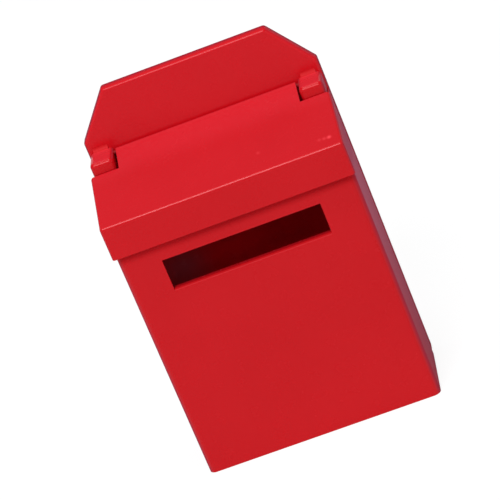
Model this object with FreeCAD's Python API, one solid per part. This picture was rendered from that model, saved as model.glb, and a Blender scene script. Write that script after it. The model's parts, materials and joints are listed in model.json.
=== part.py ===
# Small letterbox-shaped money box of painted folded sheet metal.
# Millimetres, +Z up, front faces -Y, origin at the bottom centre of the closed box.
import math
import os
import FreeCAD
import Part

V = FreeCAD.Vector

# Sheet and fits
sheet = 0.5            # thickness of every folded sheet
seat = 0.05            # room between pieces that are welded together
run = 0.05             # radial room of the rolled lid edge on the rod
lid_gap = 0.3          # room beside the walls, under the lid flanges
lid_rest = 0.9         # room above the walls, under the lid top

# Body
body_width = 100.0     # across the outer side walls
body_depth = 38.0      # front panel face to back plate face
front_bend = 3.0       # outside radius of the two upright front bends
rear_bend = 1.6        # outside radius of the bends into the rear tabs
rear_tab = 8.0         # width of the tabs that lie on the back plate

# Money slot
slot_width = 66.5
slot_height = 13.3
slot_bottom = 82.6     # height of the folded lower edge
slot_lip = 3.0         # how far the lower edge reaches inward
slot_bend = 1.3        # outside radius of that fold

# Lid
lid_slope = 21.5       # degrees that the top falls toward the front
lid_front = 118.2      # height of the front fold
lid_stand = 3.5        # lip face in front of the front panel
lid_lip = 14.2         # height of the front lip
lid_flange = 8.0       # height of the side flanges
lid_bend = 1.4         # outside radius of the lid folds
roll_turn = 290.0      # degrees that the rear edge is rolled round the rod

# Hinge
rod_radius = 1.0
rod_room = 0.3         # room between a rod end and the outer ear wall
roll_room = 0.4        # room between the rolled edge and the back plate
ear_width = 9.9
ear_depth = 12.4
ear_height = 7.6
ear_inset = 0.6        # ear side in from the outer wall face
ear_room = 0.6         # room above the rod inside an ear
ear_bend = 1.8         # outside radius of the ear folds
ear_bead = 2.0         # radius of the solder bead between ear and plate
ear_slit = 1.0         # gap between the side of an ear and the lid
notch_gap = 0.6        # gap between the front of an ear and the lid

# Back plate
plate_rise = 24.3      # plate top above the ears
plate_rim = 5.0        # depth of the rim bent backward
corner_run = 15.2      # width of each cut-off top corner
corner_drop = 19.5     # height of each cut-off top corner
corner_round = 1.8     # rounding of the outline corners
rim_bend = 1.4         # outside radius of the rim bend

# Floor
floor_flange = 7.0     # height of the upturned edge
floor_bend = 1.6       # outside radius of its bends

# Depths and half widths that follow from the sizes
lip_y = -(lid_stand + body_depth + plate_rim) / 2.0
front_y = lip_y + lid_stand
plate_y = front_y + body_depth
rear_y = plate_y + plate_rim
ear_y = plate_y - ear_depth
notch_y = ear_y - notch_gap
half_body = body_width / 2.0
half_lid = half_body + lid_gap + sheet
ear_outer = half_body - ear_inset
ear_inner = ear_outer - ear_width
half_roll = ear_inner - ear_slit
roll_inner = rod_radius + run
roll_outer = roll_inner + sheet

# Directions of the lid top in its middle section
slope = math.radians(lid_slope)
along = V(0, math.cos(slope), math.sin(slope))
normal = V(0, -math.sin(slope), math.cos(slope))
fold = V(0, lip_y, lid_front)


def lid_point(y, drop=0.0):
    """Point at depth y on the plane that lies a drop below the lid top."""
    reach = (y - lip_y + normal.y * drop) / along.y
    return fold + along * reach - normal * drop


# Heights that follow from the lid
lip_bottom = lid_front - lid_lip
axis = lid_point(plate_y - roll_room - roll_outer, roll_outer)
ear_top = axis.z + rod_radius + ear_room + sheet
ear_bottom = ear_top - ear_height
plate_height = ear_top + plate_rise


def flat(points):
    """Face inside a closed ring of points."""
    return Part.Face(Part.makePolygon(points + [points[0]]))


def across(face, half):
    """Extrude a face of the YZ section to both sides of the middle."""
    body = face.extrude(V(2.0 * half, 0, 0))
    body.translate(V(-half, 0, 0))
    return body


def same(a, b):
    return abs(a - b) < 1e-4


def middle_of(edge):
    return edge.valueAt((edge.FirstParameter + edge.LastParameter) / 2.0)


def sheet_side(path, radii, facing, shift):
    """One side of a bent sheet, shifted to the left of its path; every bend turns left."""
    edges = []
    steps = [(q - p).normalize() for p, q in zip(path, path[1:])]
    last = path[0] + facing.cross(steps[0]) * shift
    for corner, a, b, radius in zip(path[1:], steps, steps[1:], radii):
        left_a = facing.cross(a)
        left_b = facing.cross(b)
        centre = corner + (left_a - a * math.tan(a.getAngle(b) / 2.0)) * radius
        start = centre - left_a * (radius - shift)
        stop = centre - left_b * (radius - shift)
        crest = centre - (left_a + left_b).normalize() * (radius - shift)
        edges.append(Part.makeLine(last, start))
        edges.append(Part.Arc(start, crest, stop).toShape())
        last = stop
    edges.append(Part.makeLine(last, path[-1] + facing.cross(steps[-1]) * shift))
    return edges


def bent_sheet(path, radii, facing):
    """Cross-section of a bent sheet whose outer side follows the path."""
    outer = sheet_side(path, radii, facing, 0.0)
    inner = sheet_side(path, radii, facing, sheet)
    first = Part.makeLine(outer[0].Vertexes[0].Point, inner[0].Vertexes[0].Point)
    final = Part.makeLine(outer[-1].Vertexes[-1].Point, inner[-1].Vertexes[-1].Point)
    return Part.Face(Part.Wire(Part.__sortEdges__(outer + [final] + inner + [first])))


def wall_trim():
    """Space above the walls: under the sloping lid, and lower under the ears."""
    drop = sheet + lid_rest
    shelf = ear_bottom - seat
    ring = [
        lid_point(lip_y - lid_stand, drop),
        lid_point(notch_y, drop),
        V(0, notch_y, shelf),
        V(0, rear_y, shelf),
        V(0, rear_y, plate_height),
        V(0, lip_y - lid_stand, plate_height),
    ]
    return across(flat(ring), half_lid)


def slot_fold():
    """Lower edge of the money slot, folded inward."""
    path = [
        V(0, front_y + slot_lip, slot_bottom),
        V(0, front_y, slot_bottom),
        V(0, front_y, slot_bottom - 2.0 * slot_bend),
    ]
    return across(bent_sheet(path, [slot_bend], V(1, 0, 0)), slot_width / 2.0)


def slot_hole():
    low = slot_bottom - slot_bend
    high = slot_bottom + slot_height
    corner = V(-slot_width / 2.0, front_y - sheet, low)
    return Part.makeBox(slot_width, 3.0 * sheet, high - low, corner)


def make_body_wrap():
    """Front and side walls with rear tabs, bent from one sheet."""
    rear = plate_y - seat
    path = [
        V(rear_tab - half_body, rear, 0),
        V(-half_body, rear, 0),
        V(-half_body, front_y, 0),
        V(half_body, front_y, 0),
        V(half_body, rear, 0),
        V(half_body - rear_tab, rear, 0),
    ]
    plan = bent_sheet(path, [rear_bend, front_bend, front_bend, rear_bend], V(0, 0, 1))
    walls = plan.extrude(V(0, 0, plate_height))
    walls = walls.cut(wall_trim()).cut(slot_hole())
    return walls.fuse(slot_fold()).removeSplitter()


def plate_block(inset, front):
    """Block inside the plate outline from a front depth to the rear, with rounded corners."""
    half = half_body
    shoulder = plate_height - corner_drop
    ring = [
        V(-half, front, 0),
        V(half, front, 0),
        V(half, front, shoulder),
        V(half - corner_run, front, plate_height),
        V(corner_run - half, front, plate_height),
        V(-half, front, shoulder),
    ]
    outline = Part.makePolygon(ring + [ring[0]])
    if inset:
        outline = outline.makeOffset2D(-inset, 2)
    block = Part.Face(outline).extrude(V(0, rear_y - front, 0))
    mid_y = (front + rear_y) / 2.0
    uprights = [e for e in block.Edges if same(middle_of(e).y, mid_y)]
    block = block.makeFillet(corner_round - inset, uprights)
    face_edges = [e for e in block.Edges if same(middle_of(e).y, front)]
    return block.makeFillet(rim_bend - inset, face_edges)


def make_back_plate():
    """Tall back panel with cut-off top corners and a rim bent backward."""
    return plate_block(0.0, plate_y).cut(plate_block(sheet, plate_y + sheet))


def floor_block(inset):
    """Block inside the floor tray, rounded at its upright corners and along the bottom."""
    side = half_body - sheet - seat - inset
    near_y = front_y + sheet + seat + inset
    far_y = plate_y - sheet - 2.0 * seat - inset
    block = Part.makeBox(2.0 * side, far_y - near_y, floor_flange, V(-side, near_y, inset))
    fronts = [e for e in block.Edges if same(middle_of(e).y, near_y) and same(abs(middle_of(e).x), side)]
    block = block.makeFillet(front_bend - sheet - inset, fronts)
    rears = [e for e in block.Edges if same(middle_of(e).y, far_y) and same(abs(middle_of(e).x), side)]
    block = block.makeFillet(floor_bend - inset, rears)
    under = [e for e in block.Edges if same(middle_of(e).z, inset)]
    return block.makeFillet(floor_bend - inset, under)


def make_floor_pan():
    """Shallow tray that closes the bottom."""
    return floor_block(0.0).cut(floor_block(sheet))


def lid_block(ring, inset):
    """Lid-shaped block with its top, front and side folds rounded."""
    half = half_lid - inset
    block = across(flat(ring), half)
    planes = [
        lambda p: same((p - fold).dot(normal), -inset),
        lambda p: same(p.y, lip_y + inset),
        lambda p: same(abs(p.x), half),
    ]
    return block.makeFillet(lid_bend - inset, fold_edges(block, planes))


def fold_edges(body, planes):
    """Edges where two of the given planes meet."""
    return [e for e in body.Edges if sum(on(middle_of(e)) for on in planes) > 1]


def lid_shell():
    """Sloping top with front lip and side flanges, ending at the notches."""
    back_y = lip_y + lid_bend + sheet
    outer = [
        fold,
        lid_point(notch_y),
        lid_point(notch_y, lid_flange),
        lid_point(back_y, lid_flange),
        V(0, back_y, lip_bottom),
        V(0, lip_y, lip_bottom),
    ]
    inner = [
        lid_point(lip_y + sheet, sheet),
        lid_point(plate_y, sheet),
        V(0, plate_y, 0),
        V(0, lip_y + sheet, 0),
    ]
    return lid_block(outer, 0.0).cut(lid_block(inner, sheet))


def roll_spot(angle, radius):
    """Point on the rolled edge, turned from the lid top backward and down."""
    turn = math.radians(angle)
    return axis + (normal * math.cos(turn) + along * math.sin(turn)) * radius


def roll_arc(start, stop, radius):
    spots = [roll_spot(a, radius) for a in (start, (start + stop) / 2.0, stop)]
    return Part.Arc(spots[0], spots[1], spots[2]).toShape()


def lid_tongue():
    """Middle of the lid behind the notches, rolled round the rod at its end."""
    root_y = notch_y - sheet
    edges = [
        Part.makeLine(lid_point(root_y), roll_spot(0, roll_outer)),
        roll_arc(0, roll_turn, roll_outer),
        Part.makeLine(roll_spot(roll_turn, roll_outer), roll_spot(roll_turn, roll_inner)),
        roll_arc(roll_turn, 0, roll_inner),
        Part.makeLine(roll_spot(0, roll_inner), lid_point(root_y, sheet)),
        Part.makeLine(lid_point(root_y, sheet), lid_point(root_y)),
    ]
    return across(Part.Face(Part.Wire(edges)), half_roll)


def make_lid():
    """Folded lid that turns on the rod."""
    return lid_shell().fuse(lid_tongue()).removeSplitter()


def make_hinge_rod():
    """Straight wire with eased ends, held between the outer ear walls."""
    half = ear_outer - sheet - rod_room
    rod = Part.makeCylinder(rod_radius, 2.0 * half, axis - V(half, 0, 0), V(1, 0, 0))
    rims = [e for e in rod.Edges if e.Closed]
    return rod.makeChamfer(rod_radius / 5.0, rims)


def ear_block(inset, far_y, low):
    """Block of the right ear with its top, front and side folds rounded."""
    inner = ear_inner + inset
    outer = ear_outer - inset
    near_y = ear_y + inset
    high = ear_top - inset
    block = Part.makeBox(outer - inner, far_y - near_y, high - low, V(inner, near_y, low))
    planes = [
        lambda p: same(p.z, high),
        lambda p: same(p.y, near_y),
        lambda p: same(p.x, inner) or same(p.x, outer),
    ]
    return block.makeFillet(ear_bend - inset, fold_edges(block, planes))


def solder_bead():
    """Hollow bead that joins the right ear top to the back plate."""
    rear = plate_y - seat
    foot = V(0, rear, ear_top)
    tip = V(0, rear, ear_top + ear_bead)
    toe = V(0, rear - ear_bead, ear_top)
    hollow = foot + V(0, -ear_bead, ear_bead) * (1.0 - math.sqrt(0.5))
    ring = [
        Part.makeLine(foot, tip),
        Part.Arc(tip, hollow, toe).toShape(),
        Part.makeLine(toe, foot),
    ]
    bead = Part.Face(Part.Wire(ring)).extrude(V(ear_width - 2.0 * ear_bend, 0, 0))
    bead.translate(V(ear_inner + ear_bend, 0, 0))
    return bead


def make_right_hinge_ear():
    """Folded bracket on the back plate that carries one end of the rod."""
    shell = ear_block(0.0, plate_y - seat, ear_bottom)
    shell = shell.cut(ear_block(sheet, rear_y, ear_bottom - ear_height))
    start = axis + V(ear_inner - sheet, 0, 0)
    bore = Part.makeCylinder(rod_radius + seat, 3.0 * sheet, start, V(1, 0, 0))
    return shell.cut(bore).fuse(solder_bead()).removeSplitter()


def make_left_hinge_ear():
    return make_right_hinge_ear().mirror(V(0, 0, 0), V(1, 0, 0))


nodes = {
    "body_wrap": make_body_wrap,
    "back_plate": make_back_plate,
    "floor_pan": make_floor_pan,
    "lid": make_lid,
    "left_hinge_ear": make_left_hinge_ear,
    "right_hinge_ear": make_right_hinge_ear,
    "hinge_rod": make_hinge_rod,
}

os.makedirs("parts", exist_ok=True)
for name, make in nodes.items():
    make().exportStep("parts/" + name + ".step")
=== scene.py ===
import bpy
import json
import math
from mathutils import Matrix, Vector

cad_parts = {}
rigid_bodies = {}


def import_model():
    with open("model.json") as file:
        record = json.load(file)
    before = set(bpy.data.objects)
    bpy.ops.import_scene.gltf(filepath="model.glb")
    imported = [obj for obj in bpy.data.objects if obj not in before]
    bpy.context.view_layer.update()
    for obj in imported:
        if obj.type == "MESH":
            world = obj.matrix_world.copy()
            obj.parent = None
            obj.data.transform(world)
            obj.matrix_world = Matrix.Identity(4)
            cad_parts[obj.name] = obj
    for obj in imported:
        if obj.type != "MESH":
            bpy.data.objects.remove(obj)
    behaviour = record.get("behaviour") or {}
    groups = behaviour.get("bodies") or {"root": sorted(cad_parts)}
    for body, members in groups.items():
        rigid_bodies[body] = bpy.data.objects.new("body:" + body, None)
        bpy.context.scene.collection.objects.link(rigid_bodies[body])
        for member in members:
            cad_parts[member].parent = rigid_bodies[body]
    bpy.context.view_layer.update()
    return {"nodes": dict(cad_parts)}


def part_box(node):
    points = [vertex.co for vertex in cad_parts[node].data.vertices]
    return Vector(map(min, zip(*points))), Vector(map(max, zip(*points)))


for leftover in list(bpy.data.objects):
    bpy.data.objects.remove(leftover)

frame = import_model()
nodes = frame["nodes"]


def before(place, distances):
    """A start and an end, each at a distance before a place."""
    start, end = distances
    return (place - start, place - end)


# Places and lengths are metres in the part's frame; colours are linear red, green and blue.
# A turn is one part of a face's normal, from -1 to 1. A pair is a start and an end.

# Lowest and highest corners of the nodes that the paint follows, and the right end of the lid's front fold
BODY_LOW, BODY_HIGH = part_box("body_wrap")
PLATE_LOW, PLATE_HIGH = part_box("back_plate")
LID_LOW, LID_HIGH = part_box("lid")
ROD_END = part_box("hinge_rod")[1].x
LIP_HEIGHT = 0.0142
FOLD_END = Vector((LID_HIGH.x, LID_LOW.y, LID_LOW.z + LIP_HEIGHT))

# Rounding that the paint gives to cut edges
EDGE_ROUND = 0.00016
EAR_EDGE_ROUND = 0.00005
EDGE_SEGMENTS = 2
EDGE_ANGLE = 0.7
WELD_REACH = 1e-6
FLAT_WEIGHT = 100

# Red enamel: the darker and lighter tone of its clouds, on most pieces and on the back plate, whose lighter
# tones are painted light
TONES = ((0.590, 0.0030, 0.0070), (0.620, 0.0040, 0.0085))
PLATE_PAINTED_LIGHT_TONES = ((0.620, 0.0045, 0.0105), (0.650, 0.0055, 0.0120))
GRAIN_SHADES = (0.985, 1.0)
HIGHLIGHT_RED = (1.0, 0.62, 0.66)
PAINT_IOR = 1.45
GLOSS = 0.31
SATIN = (0.23, 0.29)

# Scale and detail of each noise, and the middle range in which most of its values lie
CLOUD_NOISE = (28.0, 3.0)
GRAIN_NOISE = (2600.0, 2.0)
PEEL_NOISE = (900.0, 2.0)
WAVE_NOISE = (60.0, 0.0)
SATIN_NOISE = (180.0, 3.0)
NOISE_MIDDLE = (0.3, 0.7)

# Height of the waves beside the orange peel, and the strength and depth of both
WAVE_LIFT = 3.0
PAINT_BUMP = (0.25, 0.00002)

# Bluish haze that shows at a low angle
SHEEN_BLUE = (0.50, 0.65, 1.0)
SHEEN_ROUGHNESS = 0.30
SHEEN_SHARE = 0.12
PLATE_SHEEN_SHARE = 0.03

# Inside of the box: a lighter red that is painted light for the interior, its middle, and the height below
# which faces that look there are inside
INSIDE_PAINTED_LIGHT = (0.80, 0.006, 0.014)
BOX_MIDDLE = (BODY_LOW + BODY_HIGH) / 2.0
INSIDE_TOP = FOLD_END.z

# Dry coat on faces turned away from the spray, and painted shade on the sides, darker and bluish as a
# painted reflection
DRY_TURN = (0.42, 0.96)
DRY_ROUGHNESS = 0.62
SIDE_PAINTED_SHADE = (0.25, 0.032, 0.078)
SIDE_PAINTED_SHADE_SHARE = 0.55
PLATE_SIDE_PAINTED_SHADE_SHARE = 0.25

# Upward turns where the coat on folds becomes dry, and where it is satin again.
# No turn passes 1, so the back plate's rim stays dry.
BODY_DRY_UP = (0.42, 0.70, 0.85, 0.97)
PLATE_DRY_UP = (0.62, 0.90, 2.0, 3.0)
LID_DRY_UP = (0.74, 0.85, 0.87, 0.92)

# Body walls: the heights and depths over which haze and painted shade change, and how much of each is left.
# The heights end where the lid's side flanges begin, and the depths begin behind the front bend.
FLANGE_LIFT = 0.006
FRONT_BEND = 0.003
WALL_HEIGHTS = (BODY_LOW.z, LID_LOW.z + FLANGE_LIFT)
WALL_DEPTHS = (BODY_LOW.y + FRONT_BEND, BODY_HIGH.y)
WALL_HAZE_UP = (0.15, 1.80)
WALL_HAZE_BACK = (1.0, 0.65)
WALL_PAINTED_SHADE_UP = (1.70, 1.10)
WALL_PAINTED_SHADE_BACK = (0.90, 1.25)

# Body front: heights below the lid's lip where it has rubbed the gloss away
RUBBED_FROM = before(LID_LOW.z, (0.0055, 0.0015))
RUBBED_GLOSS = 0.10

# Back plate: painted shade toward the rear edge of its rim and where the rim turns to the sides
RIM_PAINTED_SHADE = (0.20, 0.006, 0.030)
RIM_FROM = before(PLATE_HIGH.y, (0.00375, 0.00025))
RIM_LEFT_TURN = (-0.45, -0.80)
RIM_RIGHT_TURN = (0.86, 0.95)
RIM_PAINTED_SHADE_SHARE = 0.70

# Back plate: a painted, greyish patch of light on its front, seen at the left end of the slot
PAINTED_SLOT_LIGHT = (0.36, 0.085, 0.12)
SLOT_LIGHT_FROM_SIDE = 0.017
SLOT_LIGHT_BELOW_LIP = 0.030
SLOT_LIGHT_SPOT = (BODY_LOW.x + SLOT_LIGHT_FROM_SIDE, PLATE_LOW.y, LID_LOW.z - SLOT_LIGHT_BELOW_LIP)
SLOT_LIGHT_SIZE = 0.017
SLOT_LIGHT_SHARE = 0.65

# Painted light on level faces, the depths before the back plate over which it grows, and the rougher paint
# beside it
TOP_PAINTED_LIGHT = (0.95, 0.075, 0.110)
LEVEL_TURN = (0.85, 0.93)
LID_PAINTED_LIGHT_FROM = before(PLATE_LOW.y, (0.02025, 0.00875))
LID_PAINTED_LIGHT_SHARE = 0.12
EAR_PAINTED_LIGHT_FROM = before(PLATE_LOW.y, (0.01825, 0.01725))
EAR_PAINTED_LIGHT_SHARE = 0.22
BEAD_FROM = before(PLATE_LOW.y, (0.00375, 0.00175))
BEAD_ROUGHNESS = 0.30

# Lid: a painted sheen on its top, polish on its front fold, and paint nibs, each with a painted highlight.
# Each nib has its way from the right end of the fold, its size and its strength.
LID_PAINTED_SHEEN = (0.25, 0.075, 0.125)
LID_PAINTED_SHEEN_SHARE = 0.045
POLISH = 0.19
POLISH_UP = (0.30, 0.45, 0.70, 0.80)
NIB_PAINTED_HIGHLIGHT = (0.95, 0.055, 0.070)
NIB_LIFT = 6.0
LID_NIBS = (
    ((-0.0048, 0.00505, 0.0020), 0.0014, 1.00),
    ((-0.0068, 0.00515, 0.0020), 0.0013, 0.45),
    ((-0.0088, 0.00535, 0.0021), 0.0013, 0.30),
    ((-0.0333, 0.01005, 0.0039), 0.0012, 0.30),
)

# Steel of the hinge rod, and the red sprayed toward its ends beside the ears, darkened as painted shade for
# the slits
STEEL_TONES = ((0.36, 0.35, 0.34), (0.55, 0.54, 0.52))
STEEL_ROUGHNESS = (0.40, 0.55)
STEEL_GLOSS = 0.12
STEEL_BUMP = (0.2, 0.00001)
LINE_STRETCH = (60.0, 4000.0, 4000.0)
LINE_NOISE = (1.0, 3.0)
SPRAY_RED_AND_PAINTED_SHADE = (0.30, 0.003, 0.006)
SPRAY_FROM = before(ROD_END, (0.0118, 0.0110))

# Stage: sizes, then the shade and glow of each surface, and the grey that lights the object from it
FLOOR_HALF = 20.0
FLOOR_DROP = 0.0001
FLOOR_Z = BODY_LOW.z - FLOOR_DROP
RING_RADIUS = 19.0
RING_HEIGHT = 4.0
RING_SIDES = 64
FLOOR_SHADE = 0.14
FLOOR_GLOW = 0.89
BACKDROP_SHADE = 0.10
BACKDROP_GLOW = 0.95
BOUNCE_GREY = (0.72, 0.72, 0.73)

# Sky and lights: each light has a name, its direction from the object, the side of its square and its power
SKY = (0.94, 0.97, 1.0)
SKY_STRENGTH = 0.38
LIGHT_AIM = (0.0, 0.0, 0.08)
LIGHT_DISTANCE = 4.5
LIGHTS = (
    ("key", (-0.14, -0.69, 0.71), 1.6, 100.0),
    ("top", (0.0, -0.10, 0.995), 1.6, 66.0),
    ("left", (-0.85, -0.45, 0.22), 1.2, 6.0),
    ("right", (0.63, -0.72, 0.28), 1.0, 8.0),
)

# Camera, fitted to the photo's straight edges: it stands a little to the right, looks down and is tilted.
# Its angles are degrees, and its lens and sensor are millimetres.
CAMERA_AIM = (0.000619, -0.019359, 0.087267)
CAMERA_DISTANCE = 1.07
CAMERA_AZIMUTH = 7.6609
CAMERA_ELEVATION = 22.6001
CAMERA_ROLL = -22.7687
CAMERA_LENS = 195.742
CAMERA_SENSOR = 36.0
CAMERA_NEAR = 0.01
CAMERA_FAR = 100.0

# Grid on which the nodes of a material are laid
GRID_COLUMNS = 8
GRID_ACROSS = 220
GRID_DOWN = 300


def node(tree, kind, **values):
    """A new node, laid on a grid in the order of making."""
    made = tree.nodes.new(kind)
    row, column = divmod(len(tree.nodes) - 1, GRID_COLUMNS)
    made.location = (GRID_ACROSS * column, -GRID_DOWN * row)
    for name, value in values.items():
        setattr(made, name, value)
    return made


def feed(tree, value, into):
    """Link a socket, or set a plain value."""
    if isinstance(value, bpy.types.NodeSocket):
        tree.links.new(value, into)
    else:
        into.default_value = value


def calc(tree, operation, a, b=None):
    made = node(tree, "ShaderNodeMath", operation=operation)
    feed(tree, a, made.inputs[0])
    if b is not None:
        feed(tree, b, made.inputs[1])
    return made.outputs["Value"]


def vector_calc(tree, operation, a, b, output):
    made = node(tree, "ShaderNodeVectorMath", operation=operation)
    feed(tree, a, made.inputs[0])
    feed(tree, b, made.inputs[1])
    return made.outputs[output]


def spread(tree, value, source, target, soft=True):
    """The value carried from the source range to the target range, and held at its ends."""
    made = node(tree, "ShaderNodeMapRange")
    made.interpolation_type = "SMOOTHSTEP" if soft else "LINEAR"
    feed(tree, value, made.inputs["Value"])
    feed(tree, source[0], made.inputs["From Min"])
    feed(tree, source[1], made.inputs["From Max"])
    feed(tree, target[0], made.inputs["To Min"])
    feed(tree, target[1], made.inputs["To Max"])
    return made.outputs["Result"]


def noise(tree, coords, scale, detail):
    made = node(tree, "ShaderNodeTexNoise")
    feed(tree, coords, made.inputs["Vector"])
    feed(tree, scale, made.inputs["Scale"])
    feed(tree, detail, made.inputs["Detail"])
    return made.outputs["Fac"]


def ramp(tree, value, low, high):
    """Colours from low to high, over the middle range of a noise."""
    made = node(tree, "ShaderNodeValToRGB")
    feed(tree, value, made.inputs["Fac"])
    for key, place, colour in zip(made.color_ramp.elements, NOISE_MIDDLE, (low, high)):
        key.position = place
        key.color = (*colour, 1.0)
    return made.outputs["Color"]


def tint(tree, colour, share, over):
    """The colour with a share of another over it."""
    made = node(tree, "ShaderNodeMix", data_type="RGBA")
    feed(tree, share, made.inputs["Factor"])
    feed(tree, colour, made.inputs["A"])
    feed(tree, (*over, 1.0), made.inputs["B"])
    return made.outputs["Result"]


def grey(value):
    return (value, value, value)


def new_material(name):
    made = bpy.data.materials.new(name)
    made.use_nodes = True
    tree = made.node_tree
    tree.nodes.clear()
    return made, tree, node(tree, "ShaderNodeOutputMaterial")


def new_skin(name):
    """A material with one principled surface."""
    made, tree, out = new_material(name)
    skin = node(tree, "ShaderNodeBsdfPrincipled")
    tree.links.new(skin.outputs["BSDF"], out.inputs["Surface"])
    return made, tree, skin


def apart(tree, vector):
    """The X, Y and Z outputs of a vector."""
    made = node(tree, "ShaderNodeSeparateXYZ")
    feed(tree, vector, made.inputs["Vector"])
    return made.outputs


def bumped(tree, skin, height, strength, distance):
    bump = node(tree, "ShaderNodeBump")
    feed(tree, strength, bump.inputs["Strength"])
    feed(tree, distance, bump.inputs["Distance"])
    feed(tree, height, bump.inputs["Height"])
    tree.links.new(bump.outputs["Normal"], skin.inputs["Normal"])


def coat_colour(tree, coords, tones):
    """Cloudy depth of the coat, with a fine grain over it."""
    cloud = ramp(tree, noise(tree, coords, *CLOUD_NOISE), *tones)
    dark, light = GRAIN_SHADES
    grain = ramp(tree, noise(tree, coords, *GRAIN_NOISE), grey(dark), grey(light))
    made = node(tree, "ShaderNodeMix", data_type="RGBA", blend_type="MULTIPLY")
    feed(tree, 1.0, made.inputs["Factor"])
    feed(tree, cloud, made.inputs["A"])
    feed(tree, grain, made.inputs["B"])
    return made.outputs["Result"]


def coat_height(tree, coords):
    """Orange peel of sprayed enamel, with slow waves under it."""
    peel = noise(tree, coords, *PEEL_NOISE)
    wave = noise(tree, coords, *WAVE_NOISE)
    return calc(tree, "ADD", peel, calc(tree, "MULTIPLY", wave, WAVE_LIFT))


def looks_inward(tree, coords, normal):
    """1 on faces that look toward the middle of the closed box."""
    outward = vector_calc(tree, "SUBTRACT", coords, BOX_MIDDLE, "Vector")
    turned = vector_calc(tree, "DOT_PRODUCT", outward, normal, "Value")
    return calc(tree, "LESS_THAN", turned, 0.0)


def dry_part(tree, turned):
    """Extra roughness of a face by how far it is turned from the spray."""
    return spread(tree, turned, DRY_TURN, (0.0, DRY_ROUGHNESS))


class Coat:
    """Paint in the making: what its nodes read at a point, and its looks so far."""

    def __init__(self, name, tones=TONES, sheen_share=SHEEN_SHARE):
        self.material, self.tree, self.skin = new_skin(name)
        source = node(self.tree, "ShaderNodeTexCoord")
        normal = source.outputs["Normal"]
        self.coords = source.outputs["Object"]
        self.place = apart(self.tree, self.coords)
        self.facing = apart(self.tree, normal)
        self.inward = looks_inward(self.tree, self.coords, normal)
        self.outer = calc(self.tree, "SUBTRACT", 1.0, self.inward)
        turned = calc(self.tree, "ABSOLUTE", self.facing["X"])
        self.sideways = self.times(dry_part(self.tree, turned), self.outer)
        self.colour = coat_colour(self.tree, self.coords, tones)
        self.height = coat_height(self.tree, self.coords)
        shine = noise(self.tree, self.coords, *SATIN_NOISE)
        self.roughness = spread(self.tree, shine, NOISE_MIDDLE, SATIN, soft=False)
        self.gloss = GLOSS
        self.sheen = self.times(self.outer, sheen_share)

    def times(self, a, b):
        return calc(self.tree, "MULTIPLY", a, b)

    def plus(self, a, b):
        return calc(self.tree, "ADD", a, b)

    def larger(self, a, b):
        return calc(self.tree, "MAXIMUM", a, b)

    def along(self, axis, source, target):
        """A value that changes along one axis of the part."""
        return spread(self.tree, self.place[axis], source, target)

    def turned(self, axis, source, target):
        """A value that changes as faces turn toward one axis."""
        return spread(self.tree, self.facing[axis], source, target)

    def near(self, spot, size, strength):
        """The strength at a spot, fading to nothing at its size."""
        away = vector_calc(self.tree, "DISTANCE", self.coords, spot, "Value")
        return spread(self.tree, away, (0.0, size), (strength, 0.0))

    def fold_band(self, turns, share):
        """The share on the part of a fold that lies between two pairs of upward turns."""
        begun = self.turned("Z", turns[:2], (0.0, share))
        return self.times(begun, self.turned("Z", turns[2:], (1.0, 0.0)))

    def over_wall(self, share, upward, backward):
        """A share that changes from the foot of the walls to their top, and from front to rear."""
        share = self.times(share, self.along("Z", WALL_HEIGHTS, upward))
        return self.times(share, self.along("Y", WALL_DEPTHS, backward))

    def lay(self, share, over):
        """Lay a share of another colour over the coat."""
        self.colour = tint(self.tree, self.colour, share, over)

    def paint_inside_light(self):
        """Painted light inside the box: a lighter red on faces that look inward."""
        below = calc(self.tree, "LESS_THAN", self.place["Z"], INSIDE_TOP)
        self.lay(self.times(self.inward, below), INSIDE_PAINTED_LIGHT)

    # Painted shade on the sides, with a bluish painted reflection in it.
    def paint_side_shade(self, share=SIDE_PAINTED_SHADE_SHARE):
        self.lay(self.times(self.sideways, share), SIDE_PAINTED_SHADE)

    def roughen(self, dry_up=None):
        """Dry on the outer sides, the rear and some folds, which were not sprayed square on."""
        rearward = self.times(dry_part(self.tree, self.facing["Y"]), self.outer)
        dry = self.larger(self.sideways, rearward)
        if dry_up is not None:
            dry = self.larger(dry, self.fold_band(dry_up, DRY_ROUGHNESS))
        self.roughness = self.plus(self.roughness, dry)

    def paint_light_on_tops(self, light_from, share):
        """Painted light on level faces, growing toward the back plate, where the paint is rougher too."""
        level = self.turned("Z", LEVEL_TURN, (0.0, 1.0))
        self.lay(self.times(self.along("Y", light_from, (0.0, share)), level), TOP_PAINTED_LIGHT)
        self.roughness = self.plus(self.roughness, self.along("Y", BEAD_FROM, (0.0, BEAD_ROUGHNESS)))

    def finish(self):
        """Set the surface and give the material."""
        values = {
            "Base Color": self.colour,
            "Roughness": self.roughness,
            "IOR": PAINT_IOR,
            "Specular IOR Level": self.gloss,
            "Specular Tint": (*HIGHLIGHT_RED, 1.0),
            "Sheen Weight": self.sheen,
            "Sheen Roughness": SHEEN_ROUGHNESS,
            "Sheen Tint": (*SHEEN_BLUE, 1.0),
        }
        for name, value in values.items():
            feed(self.tree, value, self.skin.inputs[name])
        bumped(self.tree, self.skin, self.height, *PAINT_BUMP)
        return self.material


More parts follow.
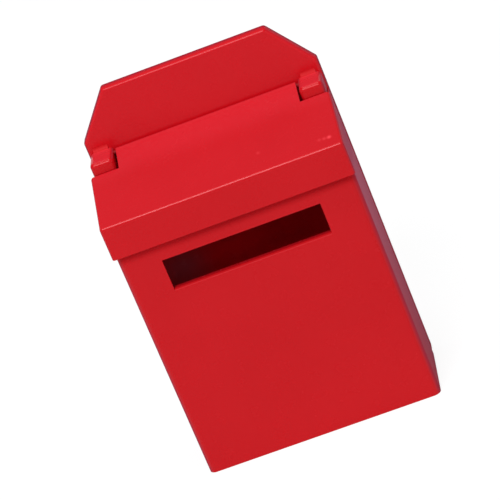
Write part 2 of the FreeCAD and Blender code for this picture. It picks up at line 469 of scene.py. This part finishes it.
def body_paint():
    """Sides hazier toward the top and with more painted shade toward the foot and rear, and a front rubbed
    by the lid's lip.
    """
    coat = Coat("red_enamel")
    coat.paint_inside_light()
    # Painted shade on the walls, heavier toward the foot and the rear.
    side_shade = coat.times(coat.sideways, SIDE_PAINTED_SHADE_SHARE)
    coat.lay(coat.over_wall(side_shade, WALL_PAINTED_SHADE_UP, WALL_PAINTED_SHADE_BACK), SIDE_PAINTED_SHADE)
    coat.roughen(BODY_DRY_UP)
    coat.gloss = coat.along("Z", RUBBED_FROM, (GLOSS, RUBBED_GLOSS))
    coat.sheen = coat.over_wall(coat.sheen, WALL_HAZE_UP, WALL_HAZE_BACK)
    return coat.finish()


def plate_paint():
    """Painted shade on the rim toward its edge, and a painted patch of light behind the left end of the
    slot.
    """
    # The plate's lighter tones are painted light.
    coat = Coat("red_enamel_plate", PLATE_PAINTED_LIGHT_TONES, PLATE_SHEEN_SHARE)
    coat.paint_inside_light()
    # Painted patch of light inside, behind the left end of the slot.
    coat.lay(coat.times(coat.inward, coat.near(SLOT_LIGHT_SPOT, SLOT_LIGHT_SIZE, SLOT_LIGHT_SHARE)), PAINTED_SLOT_LIGHT)
    # Painted shade on the rim's edge and its turns to the sides.
    left = coat.turned("X", RIM_LEFT_TURN, (0.0, RIM_PAINTED_SHADE_SHARE))
    right = coat.turned("X", RIM_RIGHT_TURN, (0.0, RIM_PAINTED_SHADE_SHARE))
    rear = coat.along("Y", RIM_FROM, (0.0, RIM_PAINTED_SHADE_SHARE))
    coat.lay(coat.larger(rear, coat.larger(left, right)), RIM_PAINTED_SHADE)
    coat.paint_side_shade(PLATE_SIDE_PAINTED_SHADE_SHARE)
    coat.roughen(PLATE_DRY_UP)
    return coat.finish()


def lid_paint():
    """Nibs with painted highlights, painted light and a painted sheen on the top, and a front fold polished
    by hands.
    """
    coat = Coat("red_enamel_lid")
    for way, size, strength in LID_NIBS:
        close = coat.near(FOLD_END + Vector(way), size, strength)
        coat.height = coat.plus(coat.height, coat.times(close, NIB_LIFT))
        # Painted highlight on each nib, over its real bump.
        coat.lay(close, NIB_PAINTED_HIGHLIGHT)
    coat.paint_inside_light()
    coat.paint_side_shade()
    coat.roughen(LID_DRY_UP)
    coat.paint_light_on_tops(LID_PAINTED_LIGHT_FROM, LID_PAINTED_LIGHT_SHARE)
    # Painted sheen on the lid's top.
    coat.lay(coat.turned("Z", LEVEL_TURN, (0.0, LID_PAINTED_SHEEN_SHARE)), LID_PAINTED_SHEEN)
    coat.gloss = coat.plus(coat.fold_band(POLISH_UP, POLISH), GLOSS)
    return coat.finish()


def ear_paint():
    coat = Coat("red_enamel_ear")
    coat.paint_inside_light()
    coat.paint_side_shade()
    coat.roughen()
    coat.paint_light_on_tops(EAR_PAINTED_LIGHT_FROM, EAR_PAINTED_LIGHT_SHARE)
    return coat.finish()


def steel_material(name):
    """Drawn wire with fine lines along it, sprayed red toward its ends in a red darkened as painted shade.
    """
    made, tree, skin = new_skin(name)
    coords = node(tree, "ShaderNodeTexCoord").outputs["Object"]
    drawn = node(tree, "ShaderNodeMapping")
    feed(tree, coords, drawn.inputs["Vector"])
    feed(tree, LINE_STRETCH, drawn.inputs["Scale"])
    lines = noise(tree, drawn.outputs["Vector"], *LINE_NOISE)
    outward = calc(tree, "ABSOLUTE", apart(tree, coords)["X"])
    sprayed = spread(tree, outward, SPRAY_FROM, (0.0, 1.0), soft=False)
    colour = tint(tree, ramp(tree, lines, *STEEL_TONES), sprayed, SPRAY_RED_AND_PAINTED_SHADE)
    roughness = spread(tree, lines, NOISE_MIDDLE, STEEL_ROUGHNESS, soft=False)
    feed(tree, colour, skin.inputs["Base Color"])
    feed(tree, calc(tree, "SUBTRACT", 1.0, sprayed), skin.inputs["Metallic"])
    feed(tree, roughness, skin.inputs["Roughness"])
    feed(tree, STEEL_GLOSS, skin.inputs["Specular IOR Level"])
    bumped(tree, skin, lines, *STEEL_BUMP)
    return made


def soften_edges(obj, width):
    """Rounds the cut edges a little, as paint does, and keeps the flats flat."""
    weld = obj.modifiers.new("weld", "WELD")
    weld.merge_threshold = WELD_REACH
    edge = obj.modifiers.new("edge", "BEVEL")
    edge.width = width
    edge.segments = EDGE_SEGMENTS
    edge.limit_method = "ANGLE"
    edge.angle_limit = EDGE_ANGLE
    edge.use_clamp_overlap = True
    flat = obj.modifiers.new("flat", "WEIGHTED_NORMAL")
    flat.keep_sharp = False
    flat.weight = FLAT_WEIGHT


def dress(name, material, width=EDGE_ROUND):
    obj = nodes[name]
    obj.data.materials.clear()
    obj.data.materials.append(material)
    soften_edges(obj, width)


def dress_all():
    body = body_paint()
    dress("body_wrap", body)
    dress("floor_pan", body)
    dress("back_plate", plate_paint())
    dress("lid", lid_paint())
    ear = ear_paint()
    dress("left_hinge_ear", ear, EAR_EDGE_ROUND)
    dress("right_hinge_ear", ear, EAR_EDGE_ROUND)
    dress("hinge_rod", steel_material("drawn_steel"))


def seen_directly(tree):
    """1 for camera, glossy and transmission rays, so that reflections show what the camera sees."""
    path = node(tree, "ShaderNodeLightPath").outputs
    some = calc(tree, "MAXIMUM", path["Is Camera Ray"], path["Is Glossy Ray"])
    return calc(tree, "MAXIMUM", some, path["Is Transmission Ray"])


def matt_surface(tree, colour):
    made = node(tree, "ShaderNodeBsdfDiffuse")
    feed(tree, (*colour, 1.0), made.inputs["Color"])
    return made.outputs["BSDF"]


def pale_material(name, shade, glow_strength):
    """A matt pale surface that is near white to the camera and still takes the object's shadow."""
    made, tree, out = new_material(name)
    made.cycles.emission_sampling = "NONE"
    glow = node(tree, "ShaderNodeEmission")
    feed(tree, glow_strength, glow.inputs["Strength"])
    lit = node(tree, "ShaderNodeAddShader")
    feed(tree, matt_surface(tree, grey(shade)), lit.inputs[0])
    feed(tree, glow.outputs["Emission"], lit.inputs[1])
    pick = node(tree, "ShaderNodeMixShader")
    feed(tree, seen_directly(tree), pick.inputs["Fac"])
    feed(tree, matt_surface(tree, BOUNCE_GREY), pick.inputs[1])
    feed(tree, lit.outputs["Shader"], pick.inputs[2])
    feed(tree, pick.outputs["Shader"], out.inputs["Surface"])
    return made


def stage_piece(name, points, faces, material):
    mesh = bpy.data.meshes.new(name)
    mesh.from_pydata(points, [], faces)
    mesh.materials.append(material)
    piece = bpy.data.objects.new(name, mesh)
    bpy.context.scene.collection.objects.link(piece)


def make_floor():
    corners = ((-1, -1), (1, -1), (1, 1), (-1, 1))
    square = [(x * FLOOR_HALF, y * FLOOR_HALF, FLOOR_Z) for x, y in corners]
    surface = pale_material("pale_floor", FLOOR_SHADE, FLOOR_GLOW)
    stage_piece("floor", square, [(0, 1, 2, 3)], surface)


def make_backdrop():
    """A low ring, far away on every side."""
    turns = [2.0 * math.pi * i / RING_SIDES for i in range(RING_SIDES)]
    low = [(RING_RADIUS * math.cos(a), RING_RADIUS * math.sin(a), FLOOR_Z) for a in turns]
    high = [(x, y, RING_HEIGHT) for x, y, z in low]
    pairs = [(i, (i + 1) % RING_SIDES) for i in range(RING_SIDES)]
    walls = [(i, j, RING_SIDES + j, RING_SIDES + i) for i, j in pairs]
    surface = pale_material("pale_backdrop", BACKDROP_SHADE, BACKDROP_GLOW)
    stage_piece("backdrop", low + high, walls, surface)


def make_world():
    world = bpy.data.worlds.new("studio")
    bpy.context.scene.world = world
    world.use_nodes = True
    tree = world.node_tree
    tree.nodes.clear()
    out = node(tree, "ShaderNodeOutputWorld")
    sky = node(tree, "ShaderNodeBackground")
    feed(tree, (*SKY, 1.0), sky.inputs["Color"])
    feed(tree, SKY_STRENGTH, sky.inputs["Strength"])
    feed(tree, sky.outputs["Background"], out.inputs["Surface"])


def soft_light(name, toward, size, power):
    lamp = bpy.data.lights.new(name, "AREA")
    lamp.shape = "SQUARE"
    lamp.size = size
    lamp.energy = power
    obj = bpy.data.objects.new(name, lamp)
    bpy.context.scene.collection.objects.link(obj)
    way = Vector(toward).normalized()
    obj.location = Vector(LIGHT_AIM) + way * LIGHT_DISTANCE
    obj.rotation_mode = "QUATERNION"
    obj.rotation_quaternion = way.to_track_quat("Z", "Y")


def make_camera():
    lens = bpy.data.cameras.new("camera")
    lens.sensor_fit = "HORIZONTAL"
    lens.sensor_width = CAMERA_SENSOR
    lens.lens = CAMERA_LENS
    lens.clip_start = CAMERA_NEAR
    lens.clip_end = CAMERA_FAR
    obj = bpy.data.objects.new("camera", lens)
    bpy.context.scene.collection.objects.link(obj)
    turn = Matrix.Rotation(math.radians(CAMERA_AZIMUTH), 4, "Z")
    lean = Matrix.Rotation(math.radians(90.0 - CAMERA_ELEVATION), 4, "X")
    roll = Matrix.Rotation(math.radians(CAMERA_ROLL), 4, "Z")
    back = Matrix.Translation((0.0, 0.0, CAMERA_DISTANCE))
    obj.matrix_world = Matrix.Translation(CAMERA_AIM) @ turn @ lean @ roll @ back
    bpy.context.scene.camera = obj


dress_all()
make_floor()
make_backdrop()
make_world()
for light in LIGHTS:
    soft_light(*light)
make_camera()
bpy.context.scene.view_settings.view_transform = "Standard"
